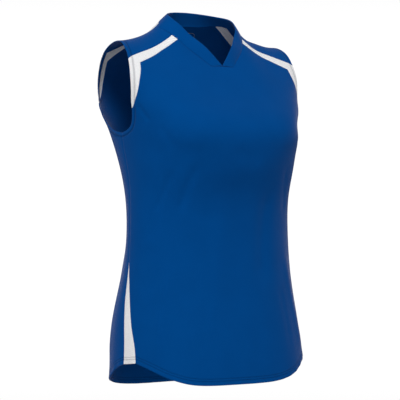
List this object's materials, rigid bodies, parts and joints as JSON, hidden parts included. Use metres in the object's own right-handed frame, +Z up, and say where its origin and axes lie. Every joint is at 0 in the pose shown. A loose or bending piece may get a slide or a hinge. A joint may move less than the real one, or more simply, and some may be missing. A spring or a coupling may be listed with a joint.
{
  "type": "sleeveless sports shirt",
  "caption": "Women's sleeveless V-neck sports shirt in blue knit with white shoulder and side inserts, filled out as worn and open at neck, armholes and curved hem.",
  "frame": {"origin": "on the wearer's middle, between the two shoulders, on the line along the top of the shoulders that carries the shirt", "axes": "+X towards the wearer's left arm, -Y the way the wearer faces, +Z up towards the neck"},
  "size_m": [0.3606, 0.2744, 0.6704],
  "materials": {
    "blue_knit": "matt knit with a faint sheen",
    "white_mesh": "matt fine mesh"
  },
  "bodies": {
    "root": {"front_panel": "blue_knit", "back_panel": "blue_knit", "yoke_left": "blue_knit", "yoke_right": "blue_knit", "collar": "blue_knit", "shoulder_insert_front_left": "white_mesh", "shoulder_insert_front_right": "white_mesh", "shoulder_insert_back_left": "white_mesh", "shoulder_insert_back_right": "white_mesh", "side_insert_left": "white_mesh", "side_insert_right": "white_mesh"}
  },
  "joints": []
}
